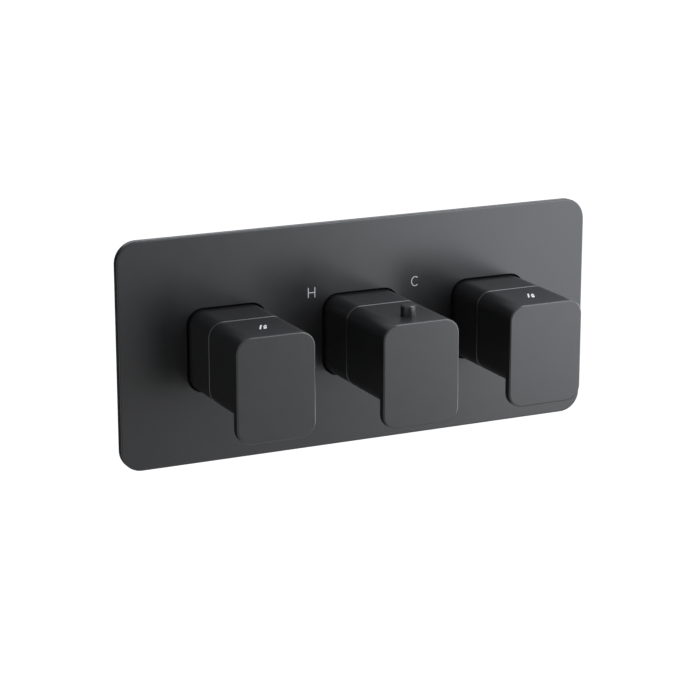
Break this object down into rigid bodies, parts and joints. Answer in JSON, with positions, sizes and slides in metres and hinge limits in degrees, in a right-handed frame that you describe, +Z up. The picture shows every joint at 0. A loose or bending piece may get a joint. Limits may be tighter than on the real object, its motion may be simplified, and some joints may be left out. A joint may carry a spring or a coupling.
{
  "type": "shower valve",
  "caption": "Concealed thermostatic shower valve with square lever knobs on a wide rounded black face plate, temperature stop button and a brass body with check valves.",
  "frame": {"origin": "centre of the face plate's back, on the finished wall line", "axes": "+X right along the wall as seen from the room, +Y into the wall, +Z up"},
  "size_m": [0.27, 0.149, 0.12],
  "materials": {
    "matte_black": "satin black coat",
    "brass": "cast and turned",
    "steel": "stainless",
    "black_rubber": "moulded",
    "ceramic": "ground and lapped",
    "white_plastic": "moulded",
    "copper": "drawn"
  },
  "bodies": {
    "wall_unit": {"face_plate": "matte_black", "left_shroud": "matte_black", "middle_shroud": "matte_black", "right_shroud": "matte_black", "valve_body": "brass", "gallery_plugs": "brass", "left_sleeve": "brass", "middle_sleeve": "brass", "right_sleeve": "brass", "thermostat_nut": "brass", "left_cartridge_bonnet": "brass", "right_cartridge_bonnet": "brass", "mounting_bracket": "steel", "bracket_screws": "steel", "return_spring": "steel", "thermostat_end_ring": "steel", "hot_check_spring": "steel", "cold_check_spring": "steel", "hot_strainer": "steel", "cold_strainer": "steel", "plate_seal": "black_rubber", "plate_hole_seals": "black_rubber", "shroud_o_rings": "black_rubber", "cartridge_base_seals": "black_rubber", "thermostat_o_rings": "black_rubber", "left_fixed_disc": "ceramic", "right_fixed_disc": "ceramic", "thermostat_housing": "white_plastic", "temperature_stop_sleeve": "white_plastic", "hot_check_cage": "white_plastic", "cold_check_cage": "white_plastic"},
    "left_control": {"left_handle": "matte_black", "left_handle_screw": "steel", "left_extension": "brass", "left_spindle": "brass", "left_spindle_o_ring": "black_rubber", "left_moving_disc": "ceramic"},
    "right_control": {"right_handle": "matte_black", "right_handle_screw": "steel", "right_extension": "brass", "right_spindle": "brass", "right_spindle_o_ring": "black_rubber", "right_moving_disc": "ceramic"},
    "temperature_control": {"temperature_handle": "matte_black", "temperature_handle_screw": "steel", "temperature_extension": "brass", "thermostat_spindle": "brass", "thermostat_spindle_o_ring": "black_rubber", "stop_button_spring": "steel"},
    "button": {"stop_button": "matte_black", "stop_button_collar": "steel"},
    "regulator": {"regulating_nut": "brass", "overtravel_spring": "steel"},
    "mixing_shuttle": {"wax_element": "copper", "shuttle": "white_plastic"},
    "hot_check": {"hot_check_poppet": "white_plastic"},
    "cold_check": {"cold_check_poppet": "white_plastic"}
  },
  "joints": [
    {"name": "left_flow_turn", "type": "hinge", "parent": "wall_unit", "child": "left_control", "pos_m": [-0.076, 0, 0], "axis": [0, -1, 0], "range_deg": [0, 90]},
    {"name": "right_flow_turn", "type": "hinge", "parent": "wall_unit", "child": "right_control", "pos_m": [0.076, 0, 0], "axis": [0, -1, 0], "range_deg": [0, 90]},
    {"name": "temperature_turn", "type": "hinge", "parent": "wall_unit", "child": "temperature_control", "pos_m": [0, 0, 0], "axis": [0, -1, 0], "range_deg": [-55, 55]},
    {"name": "stop_button_press", "type": "slide", "parent": "temperature_control", "child": "button", "axis": [0, 0, -1], "range_m": [0, 0.003], "stiffness_N_per_m": 500, "springref_m": -0.002, "deforming": ["stop_button_spring"]},
    {"name": "regulator_shift", "type": "slide", "parent": "wall_unit", "child": "regulator", "axis": [0, 1, 0], "range_m": [-0.00047, 0.00047], "deforming": ["return_spring"]},
    {"name": "shuttle_regulation", "type": "slide", "parent": "regulator", "child": "mixing_shuttle", "axis": [0, 1, 0], "range_m": [-0.0004, 0.0004], "stiffness_N_per_m": 1500, "deforming": ["overtravel_spring"]},
    {"name": "hot_check_lift", "type": "slide", "parent": "wall_unit", "child": "hot_check", "axis": [0, 0, 1], "range_m": [0, 0.0025], "stiffness_N_per_m": 60, "springref_m": -0.004, "deforming": ["hot_check_spring"]},
    {"name": "cold_check_lift", "type": "slide", "parent": "wall_unit", "child": "cold_check", "axis": [0, 0, 1], "range_m": [0, 0.0025], "stiffness_N_per_m": 60, "springref_m": -0.004, "deforming": ["cold_check_spring"]}
  ],
  "couplings": [
    {"joint": "regulator_shift", "follows": "temperature_turn", "m_per_rad": 0.00047746}
  ]
}
